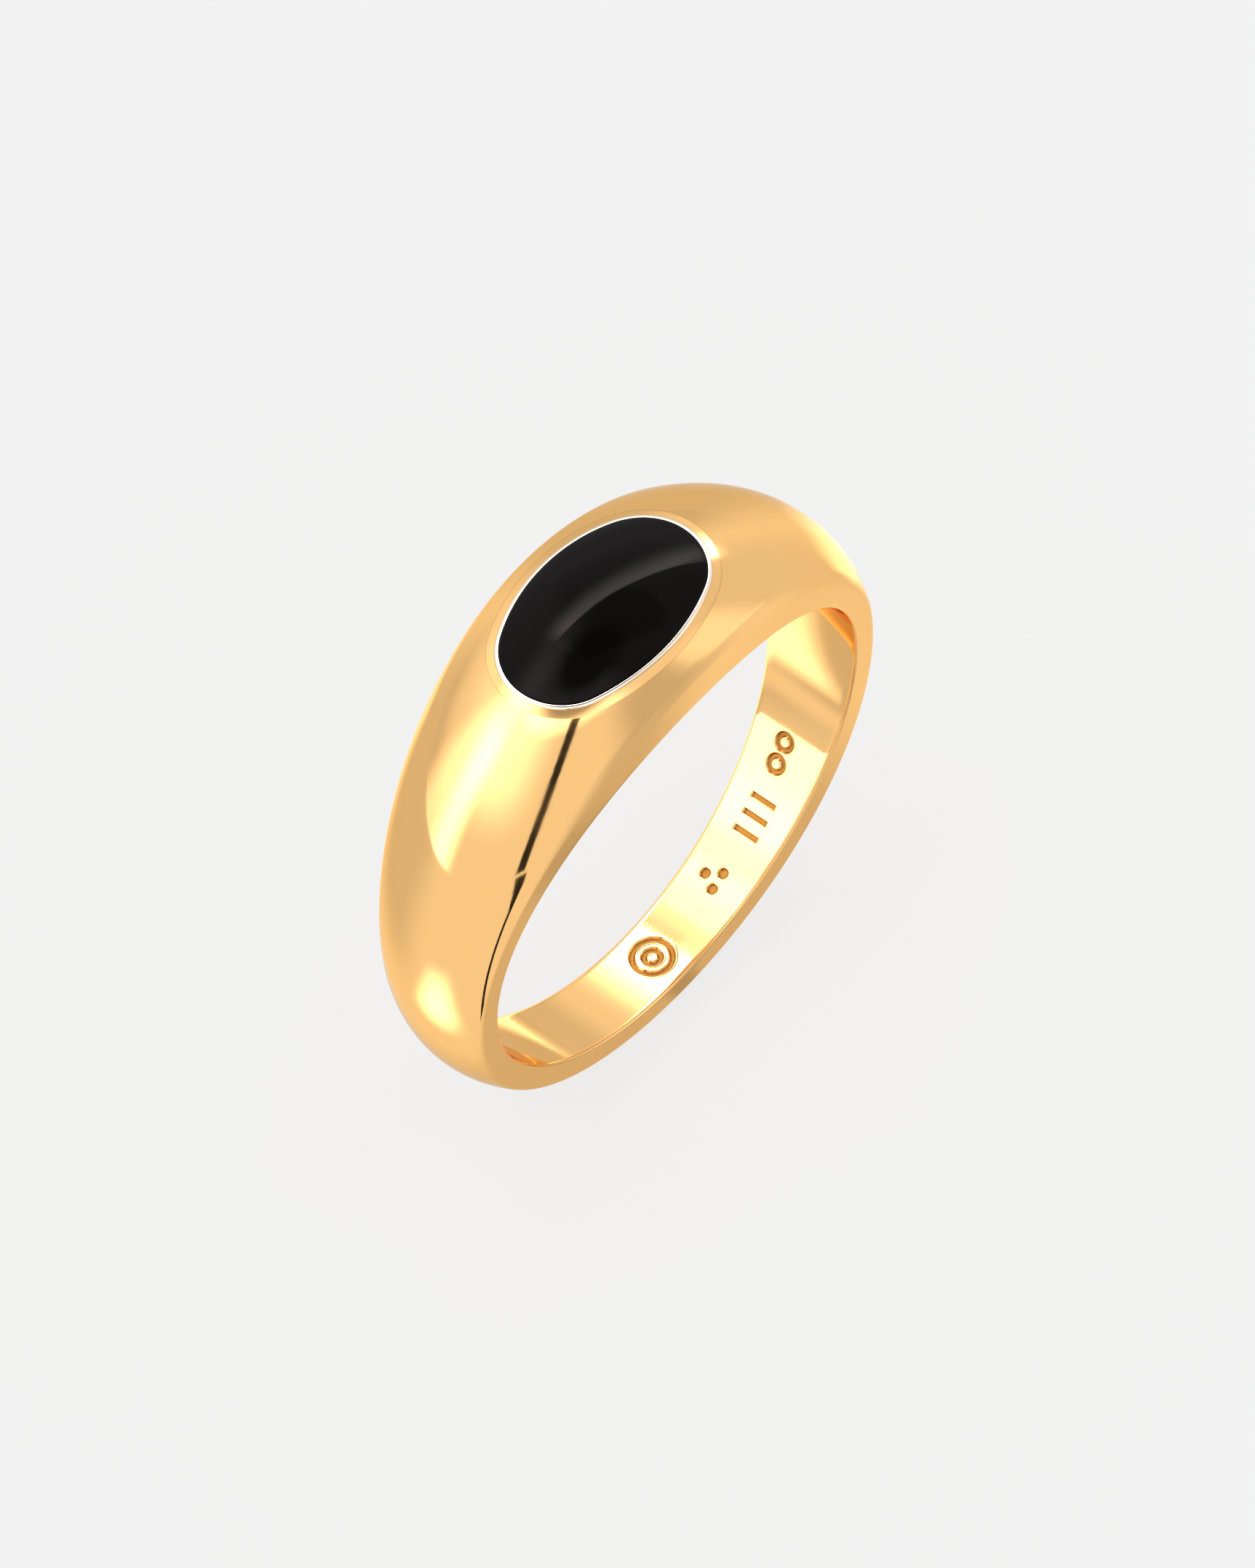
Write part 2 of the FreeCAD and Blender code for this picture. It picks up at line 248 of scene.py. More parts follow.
ring_angles = np.radians(np.arange(ANGLE_STEPS) * 360.0 / ANGLE_STEPS)
band, band_y, (first_crown, last_crown) = section(
    ring_angles, CROWN_CELLS, ROUND_CELLS, SIDE_CELLS, EDGE_CELLS
)
band_columns = band.shape[1]


def in_window(row, column):
    """Whether a face of the band lies in the head's window."""
    by_head = (row < WINDOW_STEPS) | (row >= ANGLE_STEPS - WINDOW_STEPS)
    return by_head & (column >= first_crown) & (column < last_crown)


points = [band.reshape(-1, 3)]
faces = grid_faces(ANGLE_STEPS, band_columns, around=True, skip=in_window)
crease = [np.zeros(len(points[0]))]
lip = [np.zeros(len(points[0]))]

# The head round the stone: rings of points that start on the stone's outline and end on the window.
# Nearest the stone come the wall of the recess, the lip and the bevel behind it.
LIP_WIDTH = 0.13
LIP_RISE = 0.022
BEVEL_WIDTH = 0.40
BEVEL_DROP = 0.058
LIP_CREASE, BEVEL_CREASE = 0.012, 0.014
RIM_DISTANCES = (
    0.0, 0.004, 0.012, 0.025, 0.045, 0.065, 0.085, 0.105, 0.12, 0.13, 0.14, 0.16, 0.20, 0.25, 0.30,
    0.34, 0.37, 0.388, 0.40, 0.412, 0.43, 0.46, 0.50,
)
RECESS_DEPTHS = (1.72, 0.5, 0.16, 0.10)
HEAD_RINGS = 12

rows = [(row, last_crown) for row in range(-WINDOW_STEPS, WINDOW_STEPS)]
rows += [(WINDOW_STEPS, column) for column in range(last_crown, first_crown, -1)]
rows += [(row, first_crown) for row in range(WINDOW_STEPS, -WINDOW_STEPS, -1)]
rows += [(-WINDOW_STEPS, column) for column in range(first_crown, last_crown)]
window = np.array([band[row % ANGLE_STEPS, column] for row, column in rows])
bearing = np.arctan2(window[:, 1] / STONE_WIDTH, window[:, 0] / STONE_LENGTH)
outline, outward = oval(bearing)
wall = outline + STONE_GAP * outward


def rim_height(distance):
    """How far the dressed rim stands off the crown at a distance from the recess wall."""
    bevel = -BEVEL_DROP * max(0.0, 1 - distance / BEVEL_WIDTH)
    share = distance / LIP_WIDTH
    lip = LIP_RISE * math.sqrt(max(0.0, 1 - (2 * share - 1) ** 2)) if share < 1 else 0.0
    return bevel + lip


rings = []
ring_crease = []
ring_lip = []
top = crown_point(wall[:, 0], wall[:, 1], BEVEL_DROP)
for depth in RECESS_DEPTHS:
    rings.append(top - [0, 0, depth])
    ring_crease.append(1.0)
    ring_lip.append(1.0)
for distance in RIM_DISTANCES:
    plan = wall + distance * outward
    foot = crown_point(plan[:, 0], plan[:, 1])
    rings.append(foot + rim_height(distance) * crown_normal(plan[:, 0], plan[:, 1]))
    # The crease number marks where painted shade goes: the lip's and the bevel's edges, and the whole
    # recess.
    at_lip = math.exp(-(((distance - LIP_WIDTH) / LIP_CREASE) ** 2))
    at_bevel = math.exp(-(((distance - BEVEL_WIDTH) / BEVEL_CREASE) ** 2))
    ring_crease.append(min(1.0, at_lip + at_bevel))
    ring_lip.append(float(distance < LIP_WIDTH))
start = wall + RIM_DISTANCES[-1] * outward
for share in np.linspace(0, 1, HEAD_RINGS + 1)[1:-1]:
    plan = start + (window[:, :2] - start) * share
    rings.append(crown_point(plan[:, 0], plan[:, 1]))
rings.append(window)
plain_rings = [0.0] * HEAD_RINGS
head = np.array(rings)
rim_count = len(window)
head_first = sum(map(len, points))
faces += grid_faces(rim_count, len(head), first=head_first, around=True)
points.append(head.transpose(1, 0, 2).reshape(-1, 3))
crease.append(np.tile(ring_crease + plain_rings, rim_count))
lip.append(np.tile(ring_lip + plain_rings, rim_count))
# the floor of the recess
faces.append([head_first + number * len(head) for number in range(rim_count)])

# The bore wall, and a closely divided patch of it that takes the punched marks. The patch runs
# between two steps of angle; each punch throws up a low burr round its mark.
PATCH_FROM, PATCH_TO = 119, 191
PATCH_DIVISIONS = 6
PATCH_HALF = 0.96
PATCH_COLUMNS = 78
MARK_DEPTH = 0.10
MARK_STROKE = 0.17
MARK_EDGE = 0.035
BURR_HEIGHT, BURR_AT, BURR_WIDTH = 0.006, 0.045, 0.022
TWIN_RINGS_AT, BARS_AT, DOTS_AT, DOUBLE_RING_AT = 128.0, 143.0, 158.5, 180.0
BORE_SHARES = (0, 1 / 3, 2 / 3, 1)

half_bore = band_y[:, 0]
bore_columns = []
for share in BORE_SHARES:
    bore_columns.append(PATCH_HALF + (half_bore - PATCH_HALF) * (1 - share))
bore_y = np.stack([*bore_columns, *[-column for column in bore_columns[::-1]]], axis=1)
bore_width = bore_y.shape[1]
middle = len(bore_columns) - 1


def in_patch(row, column):
    """Whether a face of the bore wall lies in the closely divided patch or borders on it."""
    beside = (np.abs(column - middle) <= 1) & (row >= PATCH_FROM) & (row < PATCH_TO)
    at_ends = (column == middle) & ((row == PATCH_FROM - 1) | (row == PATCH_TO))
    return beside | at_ends


bore_first = sum(map(len, points))
faces += grid_faces(ANGLE_STEPS, bore_width, first=bore_first, around=True, skip=in_patch)
points.append(at(ring_angles[:, None] + 0 * bore_y, BORE_RADIUS, bore_y).reshape(-1, 3))
bore_wall = np.zeros(bore_y.size)
crease.append(bore_wall)
lip.append(bore_wall)

patch_angles = np.linspace(PATCH_FROM, PATCH_TO, (PATCH_TO - PATCH_FROM) * PATCH_DIVISIONS + 1)
patch_y = np.linspace(-PATCH_HALF, PATCH_HALF, PATCH_COLUMNS + 1)
patch_angle, patch_along = np.meshgrid(patch_angles, patch_y, indexing="ij")


def mark_distance(angle, along):
    """How far each point of the bore wall lies outside the nearest mark; negative is inside."""
    def place(middle_angle):
        return np.radians(middle_angle - angle) * BORE_RADIUS, along

    def ring(across, up, radius):
        return np.abs(np.hypot(across, up) - radius) - MARK_STROKE / 2

    x, y = place(TWIN_RINGS_AT)
    marks = [ring(x - 0.42, y - 0.15, 0.28), ring(x + 0.42, y - 0.15, 0.28)]
    x, y = place(BARS_AT)
    for shift in (-0.62, 0.0, 0.62):
        marks.append(np.maximum(np.abs(x - shift) - MARK_STROKE / 2, np.abs(y) - 0.48))
    x, y = place(DOTS_AT)
    for turn in (90.0, 210.0, 330.0):
        dot_x = 0.36 * math.cos(math.radians(turn))
        dot_y = 0.36 * math.sin(math.radians(turn)) + 0.1
        marks.append(np.hypot(x - dot_x, y - dot_y) - MARK_STROKE)
    x, y = place(DOUBLE_RING_AT)
    marks += [ring(x, y, 0.68), ring(x, y, 0.28)]
    return np.min(marks, axis=0)


outside = mark_distance(patch_angle, patch_along)
sunk = np.clip(0.5 - outside / MARK_EDGE, 0, 1)
sunk = sunk * sunk * (3 - 2 * sunk)
burr = BURR_HEIGHT * np.exp(-(((outside - BURR_AT) / BURR_WIDTH) ** 2))
patch_radius = BORE_RADIUS + MARK_DEPTH * sunk - burr
patch_first = sum(map(len, points))
patch_point = patch_first + np.arange(patch_angle.size).reshape(patch_angle.shape)
faces += grid_faces(len(patch_angles), len(patch_y), first=patch_first)
for row in range(PATCH_FROM, PATCH_TO):
    fine = slice((row - PATCH_FROM) * PATCH_DIVISIONS, (row - PATCH_FROM + 1) * PATCH_DIVISIONS + 1)
    for column, border in ((middle - 1, patch_point[fine, -1]), (middle + 2, patch_point[fine, 0])):
        corner = bore_first + row * bore_width + column
        faces.append([corner + bore_width, corner, *border.tolist()])
for row, border in ((PATCH_FROM - 1, patch_point[0]), (PATCH_TO + 1, patch_point[-1])):
    corner = bore_first + row * bore_width + middle
    faces.append([corner + 1, corner, *border[::-1].tolist()])
points.append(at(np.radians(patch_angle), patch_radius, patch_along).reshape(-1, 3))
crease.append(np.zeros(patch_angle.size))
lip.append(np.zeros(patch_angle.size))
stamped = [np.zeros(sum(map(len, points[:-1]))), sunk.ravel()]

ring_body = make_piece(
    "ring_casting",
    np.vstack(points),
    faces,
    {
        "crease": np.concatenate(crease),
        "lip": np.concatenate(lip),
        "stamped": np.concatenate(stamped),
    },
)


def new_material(name):
    """An empty node material, its tree and its output."""
    material = bpy.data.materials.new(name)
    material.use_nodes = True
    tree = material.node_tree
    tree.nodes.clear()
    return material, tree, tree.nodes.new("ShaderNodeOutputMaterial")


def link(tree, source, target):
    """Join an output socket to an input socket."""
    tree.links.new(source, target)


def calculate(tree, operation, *values, clamp=False):
    """A Math node on sockets or numbers; returns its output."""
    node = tree.nodes.new("ShaderNodeMath")
    node.operation = operation
    node.use_clamp = clamp
    for socket, value in zip(node.inputs, values):
        if isinstance(value, (int, float)):
            socket.default_value = value
        else:
            link(tree, value, socket)
    return node.outputs[0]


def ramp(tree, value, low, high, to_low=0.0, to_high=1.0):
    """Ease a value from one range to another."""
    node = tree.nodes.new("ShaderNodeMapRange")
    node.interpolation_type = "SMOOTHSTEP"
    link(tree, value, node.inputs["Value"])
    node.inputs["From Min"].default_value = low
    node.inputs["From Max"].default_value = high
    node.inputs["To Min"].default_value = to_low
    node.inputs["To Max"].default_value = to_high
    return node.outputs[0]


def noise(tree, scale, detail=3.0, stretch=(1, 1, 1)):
    """A noise pattern fixed to the object; scale is per metre."""
    place = tree.nodes.new("ShaderNodeTexCoord")
    mapping = tree.nodes.new("ShaderNodeMapping")
    mapping.inputs["Scale"].default_value = stretch
    link(tree, place.outputs["Object"], mapping.inputs["Vector"])
    node = tree.nodes.new("ShaderNodeTexNoise")
    node.inputs["Scale"].default_value = scale
    node.inputs["Detail"].default_value = detail
    link(tree, mapping.outputs[0], node.inputs["Vector"])
    return node.outputs["Fac"]


def blend_colours(tree, share, first_colour, second_colour):
    """Mix two colours, given as sockets or as linear numbers."""
    node = tree.nodes.new("ShaderNodeMix")
    node.data_type = "RGBA"
    link(tree, share, node.inputs["Factor"])
    for socket, colour in ((node.inputs[6], first_colour), (node.inputs[7], second_colour)):
        if isinstance(colour, tuple):
            socket.default_value = (*colour, 1)
        else:
            link(tree, colour, socket)
    return node.outputs[2]


def attribute(tree, name):
    """A number stored on the mesh."""
    node = tree.nodes.new("ShaderNodeAttribute")
    node.attribute_name = name
    return node.outputs["Fac"]


GOLD = (0.970, 0.582, 0.232)
GOLD_DEEP = (0.955, 0.564, 0.216)
GOLD_EDGE_TINT = (1.0, 0.84, 0.60)
PALE_LIP = (0.97, 0.84, 0.70)
# Dark browns for painted shade in the punched marks and the creases
SHADE_GOLD = (0.46, 0.22, 0.05)
DEEP_SHADE_GOLD = (0.30, 0.13, 0.028)
CREASE_SHADE = 0.45
POLISH_FROM, POLISH_TO, MARK_ROUGHNESS = 0.045, 0.085, 0.38

gold, tree, output = new_material("polished_gold_plating")
shader = tree.nodes.new("ShaderNodeBsdfPrincipled")
shader.inputs["Metallic"].default_value = 1.0
shader.inputs["Specular Tint"].default_value = (*GOLD_EDGE_TINT, 1)
plate = blend_colours(tree, noise(tree, 260.0), GOLD, GOLD_DEEP)
# The lip round the stone is coloured a pale, near white gold.
plate = blend_colours(tree, attribute(tree, "lip"), plate, PALE_LIP)
# Painted shade: the creases at the lip's and the bevel's edges and the recess walls are blended towards
# dark brown.
crease_shade = calculate(tree, "MULTIPLY", attribute(tree, "crease"), CREASE_SHADE)
plate = blend_colours(tree, crease_shade, plate, SHADE_GOLD)
# Painted shade: inside the punched marks the gold is a mottled dark brown; the marks are also rougher.
in_mark = attribute(tree, "stamped")
mark_shade = blend_colours(tree, noise(tree, 9000.0), SHADE_GOLD, DEEP_SHADE_GOLD)
plate = blend_colours(tree, in_mark, plate, mark_shade)
link(tree, plate, shader.inputs["Base Color"])
polish = ramp(tree, noise(tree, 700.0, 5.0), 0.3, 0.7, POLISH_FROM, POLISH_TO)
rough = calculate(tree, "ADD", polish, calculate(tree, "MULTIPLY", in_mark, MARK_ROUGHNESS))
link(tree, rough, shader.inputs["Roughness"])
hairlines = noise(tree, 1500.0, 4.0, (1, 9, 1))
bump = tree.nodes.new("ShaderNodeBump")
bump.inputs["Strength"].default_value = 0.02
bump.inputs["Distance"].default_value = 0.00002
link(tree, hairlines, bump.inputs["Height"])
link(tree, bump.outputs[0], shader.inputs["Normal"])
link(tree, shader.outputs[0], output.inputs["Surface"])

ring_body.data.materials.append(gold)
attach(ring_body, "root")
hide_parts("ring_body")

# ---------------------------------------------------------------------------------------------
# Black stone. One oval of opaque black stone, cut flat on the back and ground to the head's own
# dome on top, then polished. It drops into the recess and the metal's lip closes over its edge.

STONE_SINK = 0.04
STONE_EDGE_ROUND = 0.03
STONE_SPECULAR = 0.085
STONE_TINT = (1.0, 0.84, 0.85)
cad_stone_low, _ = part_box("black_inlay")
stone_back = cad_stone_low[2] / MM
STONE_RAYS = 240
STONE_RINGS = 34

bearing = np.linspace(0, 2 * math.pi, STONE_RAYS, endpoint=False)
outline, outward = oval(bearing)
rings = [np.column_stack([outline * share, np.full(STONE_RAYS, stone_back)]) for share in (0.0, 0.5)]
rings.append(np.column_stack([outline, np.full(STONE_RAYS, stone_back)]))
edge_top = crown_point(outline[:, 0], outline[:, 1], STONE_SINK + STONE_EDGE_ROUND)
for share in (0.3, 0.7, 0.9, 0.97):
    side_point = edge_top.copy()
    side_point[:, 2] = stone_back + (edge_top[:, 2] - stone_back) * share
    rings.append(side_point)
for turn in np.radians((0, 18, 36, 54, 72, 90)):
    plan = outline - STONE_EDGE_ROUND * (1 - math.cos(turn)) * outward
    drop = STONE_SINK + STONE_EDGE_ROUND * (1 - math.sin(turn))
    rings.append(crown_point(plan[:, 0], plan[:, 1], drop))
last_plan = outline - STONE_EDGE_ROUND * outward
for share in np.linspace(0, 1, STONE_RINGS + 1)[1:]:
    plan = last_plan * (1 - share)
    surface = crown_point(plan[:, 0], plan[:, 1], STONE_SINK)
    x, y = plan[:, 0], plan[:, 1]
    surface[:, 2] += 0.0012 * np.sin(1.9 * x + 0.8 * y + 0.5) + 0.001 * np.sin(2.6 * y - 1.1 * x)
    rings.append(surface)
stone_points = np.array(rings).transpose(1, 0, 2).reshape(-1, 3)
black_stone = make_piece(
    "black_stone_oval", stone_points, grid_faces(STONE_RAYS, len(rings), around=True)
)

stone_finish, tree, output = new_material("polished_black_stone")
shader = tree.nodes.new("ShaderNodeBsdfPrincipled")
speck = ramp(tree, noise(tree, 5200.0, 2.0), 0.70, 0.78)
stone_colour = blend_colours(tree, speck, (0.0016, 0.0010, 0.0011), (0.008, 0.006, 0.006))
link(tree, stone_colour, shader.inputs["Base Color"])
shader.inputs["IOR"].default_value = 1.5
shader.inputs["Specular IOR Level"].default_value = STONE_SPECULAR
shader.inputs["Specular Tint"].default_value = (*STONE_TINT, 1)
link(tree, ramp(tree, noise(tree, 900.0), 0.3, 0.7, 0.03, 0.06), shader.inputs["Roughness"])
link(tree, shader.outputs[0], output.inputs["Surface"])

black_stone.data.materials.append(stone_finish)
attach(black_stone, "root")
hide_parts("black_inlay")

# ---------------------------------------------------------------------------------------------
# Cement. A thin bed of clear cement on the recess floor holds the stone down. It is closed in by
# the stone, so it keeps its CAD shape and only takes a finish.

cement, tree, output = new_material("clear_cement")
shader = tree.nodes.new("ShaderNodeBsdfPrincipled")
cement_colour = blend_colours(tree, noise(tree, 2500.0), (0.24, 0.23, 0.20), (0.17, 0.16, 0.14))
link(tree, cement_colour, shader.inputs["Base Color"])
shader.inputs["Roughness"].default_value = 0.5
link(tree, shader.outputs[0], output.inputs["Surface"])
cement_bed = frame["nodes"]["inlay_cement"]
cement_bed.data.materials.clear()
cement_bed.data.materials.append(cement)

# ---------------------------------------------------------------------------------------------
# Floor. A plain pale table that the ring stands on. It keeps the ring's soft shadow, and the
# polished metal mirrors it.

FLOOR_TONE = 0.888
FLOOR_SHADOWED = 0.16
FLOOR_IN_METAL = 0.11

# Duller stretches that the tent's walls and the table have in common, as the metal sees them:
# azimuth, half width, side fade, lowest, highest, fade below, fade above (degrees), tone kept
DULL = (
    (10, 8, 24, -90, 45, 1, 20, 0.66),
    (-150, 20, 26, -18, 2, 14, 16, 0.72),
    (75, 8, 20, -20, 40, 20, 20, 0.86),
    (135, 14, 22, -20, 8, 14, 16, 0.70),
    # The next row darkens the table right under the ring, in the metal only: a painted shadow.
    (0, 180, 1, -90, -50, 1, 14, 0.68),
    (0, 180, 1, 80, 90, 12, 1, 0.45),
)


def heading(tree, direction):
    """The level part of a direction, made one unit long."""
    split = tree.nodes.new("ShaderNodeSeparateXYZ")
    link(tree, direction, split.inputs[0])
    level = tree.nodes.new("ShaderNodeCombineXYZ")
    link(tree, split.outputs[0], level.inputs[0])
    link(tree, split.outputs[1], level.inputs[1])
    flat = tree.nodes.new("ShaderNodeVectorMath")
    flat.operation = "NORMALIZE"
    link(tree, level.outputs[0], flat.inputs[0])
    return flat.outputs[0]


def stretch(tree, flat, height, azimuth, half_width, side_fade, low, high, low_fade, high_fade):
    """How far a heading and a height in degrees lie inside a stretch of the surroundings."""
    toward = tree.nodes.new("ShaderNodeVectorMath")
    toward.operation = "DOT_PRODUCT"
    link(tree, flat, toward.inputs[0])
    turn = math.radians(azimuth)
    toward.inputs[1].default_value = (math.sin(turn), -math.cos(turn), 0)
    away = calculate(tree, "ARCCOSINE", calculate(tree, "MINIMUM", toward.outputs["Value"], 1.0))
    away = calculate(tree, "MULTIPLY", away, 180 / math.pi)
    share = ramp(tree, away, half_width, half_width + side_fade, 1.0, 0.0)
    share = calculate(tree, "MULTIPLY", share, ramp(tree, height, low - low_fade, low))
    return calculate(tree, "MULTIPLY", share, ramp(tree, height, high, high + high_fade, 1.0, 0.0))


def darkened(tree, tone, share, kept):
    """A tone brought down to the kept part of it where share is one."""
    lost = calculate(tree, "MULTIPLY", share, 1.0 - kept)
    return calculate(tree, "MULTIPLY", tone, calculate(tree, "SUBTRACT", 1.0, lost))


floor_height = cad_low[2]
floor_mesh = bpy.data.meshes.new("floor")
FLOOR_REACH = 2.0
floor_mesh.from_pydata(
    [(x * FLOOR_REACH, y * FLOOR_REACH, floor_height) for x, y in ((-1, -1), (1, -1), (1, 1), (-1, 1))],
    [],
    [(0, 1, 2, 3)],
)
floor = bpy.data.objects.new("floor", floor_mesh)
bpy.context.scene.collection.objects.link(floor)
floor_finish, tree, output = new_material("pale_floor")
matt = tree.nodes.new("ShaderNodeBsdfDiffuse")
matt.inputs["Color"].default_value = (FLOOR_SHADOWED,) * 3 + (1,)
glow = tree.nodes.new("ShaderNodeEmission")
glow.inputs["Color"].default_value = (1, 1, 1, 1)
place = tree.nodes.new("ShaderNodeTexCoord")
flat = heading(tree, place.outputs["Object"])
distance = tree.nodes.new("ShaderNodeVectorMath")
distance.operation = "LENGTH"
link(tree, place.outputs["Object"], distance.inputs[0])
depth = calculate(tree, "ARCSINE", calculate(tree, "DIVIDE", floor_height, distance.outputs["Value"]))
depth = calculate(tree, "MULTIPLY", depth, 180 / math.pi)
path = tree.nodes.new("ShaderNodeLightPath")
own_tone = FLOOR_TONE * (1 - FLOOR_SHADOWED)
in_metal = calculate(tree, "MULTIPLY", path.outputs["Is Glossy Ray"], FLOOR_IN_METAL)
tone = calculate(tree, "ADD", in_metal, own_tone)
for *where, kept in DULL:
    share = stretch(tree, flat, depth, *where)
    share = calculate(tree, "MULTIPLY", share, path.outputs["Is Glossy Ray"])
    tone = darkened(tree, tone, share, kept)
link(tree, tone, glow.inputs["Strength"])
seen = tree.nodes.new("ShaderNodeAddShader")
link(tree, matt.outputs[0], seen.inputs[0])
link(tree, glow.outputs[0], seen.inputs[1])
plain = tree.nodes.new("ShaderNodeBsdfDiffuse")
plain.inputs["Color"].default_value = (0.8, 0.8, 0.8, 1)
direct = calculate(tree, "ADD", path.outputs["Is Camera Ray"], path.outputs["Is Glossy Ray"])
direct = calculate(tree, "ADD", direct, path.outputs["Is Transmission Ray"], clamp=True)
choose = tree.nodes.new("ShaderNodeMixShader")
link(tree, direct, choose.inputs[0])
link(tree, plain.outputs[0], choose.inputs[1])
link(tree, seen.outputs[0], choose.inputs[2])
link(tree, choose.outputs[0], output.inputs["Surface"])
floor_mesh.materials.append(floor_finish)

# ---------------------------------------------------------------------------------------------
# Cards on the table. Lit reflector cards lie round the ring, and a black one reaches out from it.
# They show only where a polished piece mirrors them.


def lay_card(name, middle, size, turn, tone, soft, lift=0.2):
    """A card on the table: its middle and size in millimetres, its turn, and its own brightness.

    soft is the share of the card that fades out from its left, right, near and far edges.
    """
    half_x, half_y = size[0] / 2, size[1] / 2
    corners = [(-half_x, -half_y), (half_x, -half_y), (half_x, half_y), (-half_x, half_y)]
    mesh = bpy.data.meshes.new(name)
    turned = Matrix.Rotation(math.radians(turn), 2)
    placed = [turned @ Vector(corner) + Vector(middle) for corner in corners]
    mesh.from_pydata([(p.x * MM, p.y * MM, floor_height + lift * MM) for p in placed], [], [(0, 1, 2, 3)])
    uv = mesh.uv_layers.new(name="card")
    for loop, corner in zip(uv.data, ((0, 0), (1, 0), (1, 1), (0, 1))):
        loop.uv = corner
    card = bpy.data.objects.new(name, mesh)
    bpy.context.scene.collection.objects.link(card)
    finish, tree, output = new_material(name)
    place = tree.nodes.new("ShaderNodeUVMap")
    place.uv_map = "card"
    split = tree.nodes.new("ShaderNodeSeparateXYZ")
    link(tree, place.outputs[0], split.inputs[0])
    left, right, near, far = soft
    shown = ramp(tree, split.outputs[0], 0.0, left)
    shown = calculate(tree, "MULTIPLY", shown, ramp(tree, split.outputs[0], 1.0 - right, 1.0, 1.0, 0.0))
    shown = calculate(tree, "MULTIPLY", shown, ramp(tree, split.outputs[1], 0.0, near))
    shown = calculate(tree, "MULTIPLY", shown, ramp(tree, split.outputs[1], 1.0 - far, 1.0, 1.0, 0.0))
    clear = tree.nodes.new("ShaderNodeBsdfTransparent")
    lit = tree.nodes.new("ShaderNodeEmission")
    lit.inputs["Strength"].default_value = tone
    lit.inputs["Color"].default_value = (1, 1, 1, 1)
    choose = tree.nodes.new("ShaderNodeMixShader")
    link(tree, shown, choose.inputs[0])
    link(tree, clear.outputs[0], choose.inputs[1])
    link(tree, lit.outputs[0], choose.inputs[2])
    link(tree, choose.outputs[0], output.inputs["Surface"])
    mesh.materials.append(finish)
    card.visible_camera = False
    card.visible_diffuse = False
    card.visible_shadow = False


lay_card("left_card", (-23.0, 2.0), (17.0, 11.0), 0.0, 3.2, (0.75, 0.25, 0.45, 0.45))
lay_card("right_card", (31.0, 4.5), (28.0, 17.0), 10.0, 1.75, (0.2, 0.7, 0.3, 0.45))
lay_card("back_card", (0.0, 50.0), (32.0, 76.0), 0.0, 1.5, (0.35, 0.6, 0.25, 0.4))
lay_card("near_back_card", (2.0, 10.5), (16.0, 13.0), 0.0, 2.2, (0.3, 0.3, 0.15, 0.4), 0.4)

# The black card widens as it reaches away, so that it looks even in the metal
BLACK_NEAR = (-10.5, -8.2)
BLACK_FAR = (-392.0, -297.0)
BLACK_HALF_NEAR, BLACK_HALF_FAR = 0.75, 25.0
BLACK_LIFT = 0.3
BLACK_TONE = 0.02
near, far = Vector(BLACK_NEAR), Vector(BLACK_FAR)
side = (far - near).normalized().orthogonal()
black_mesh = bpy.data.meshes.new("black_card")
outline = [
    near + side * BLACK_HALF_NEAR, far + side * BLACK_HALF_FAR,
    far - side * BLACK_HALF_FAR, near - side * BLACK_HALF_NEAR,
]
black_mesh.from_pydata(
    [(p.x * MM, p.y * MM, floor_height + BLACK_LIFT * MM) for p in outline], [], [(0, 1, 2, 3)]
)
black_card = bpy.data.objects.new("black_card", black_mesh)
bpy.context.scene.collection.objects.link(black_card)
finish, tree, output = new_material("black_card")
dark = tree.nodes.new("ShaderNodeEmission")
dark.inputs["Strength"].default_value = BLACK_TONE
link(tree, dark.outputs[0], output.inputs["Surface"])
black_mesh.materials.append(finish)
black_card.visible_camera = False
black_card.visible_diffuse = False
black_card.visible_shadow = False

# ---------------------------------------------------------------------------------------------
# Tent. The walls of the light tent as polished pieces mirror them: an even pale tone with brighter
# panels, a strip light, duller stretches and the dark stand. The camera and matt surfaces see none of
# these, only one even tone that matches the table.

TENT_TONE = 1.0
# Brighter panels, laid out as in DULL, with the tone that each adds
BRIGHT = (
    (-95, 6, 36, 38, 64, 26, 12, 0.8),
    (-75, 60, 40, 62, 72, 8, 8, 1.2),
    (-145, 45, 16, 40, 66, 24, 6, 0.35),
    (-128, 8, 20, 0, 40, 20, 10, 0.8),
    (45, 8, 12, 0, 40, 20, 15, 0.25),
)
# The tent's open top has a straight hem at the back right: bright cloth below it, dark above it.
# The way it faces; where its bright cloth begins and its hem lies, as heights that way; how soft the
# hem is; the cloth's own tone and how fast it rises; and the tone kept above the hem
HEM_FACES = (-0.16, -0.82, 0.54)
HEM_REACH = -0.26
HEM_AT, HEM_SOFT = 0.085, 0.025
HEM_TONE, HEM_CURVE, HEM_KEPT = 6.0, 2.0, 0.60
HEM_LIT = (135, 32, 16, 26, 78, 12, 1)
HEM_DARK = (115, 55, 10, 56, 90, 4, 1)
# A long strip light arches over the back: its stretch, how far back it hangs and its own tone
STRIP = (-148, 44, 32, 0, 90, 30, 1)
STRIP_FROM, STRIP_TO, STRIP_FADE = 0.40, 0.43, 0.24
STRIP_TONE = 1.5
# The dark stand leans: where it leaves the table, where it ends, and half its width, in degrees
STAND_FOOT = (-54.0, 0.0)
STAND_TOP = (-44.5, 62.0)
STAND_HALF = 1.9
STAND_FADE = 1.0
STAND_STRETCH = (STAND_FOOT[0], 30, 1, -20, STAND_TOP[1], 1, 2)
STAND_KEPT = 0.03

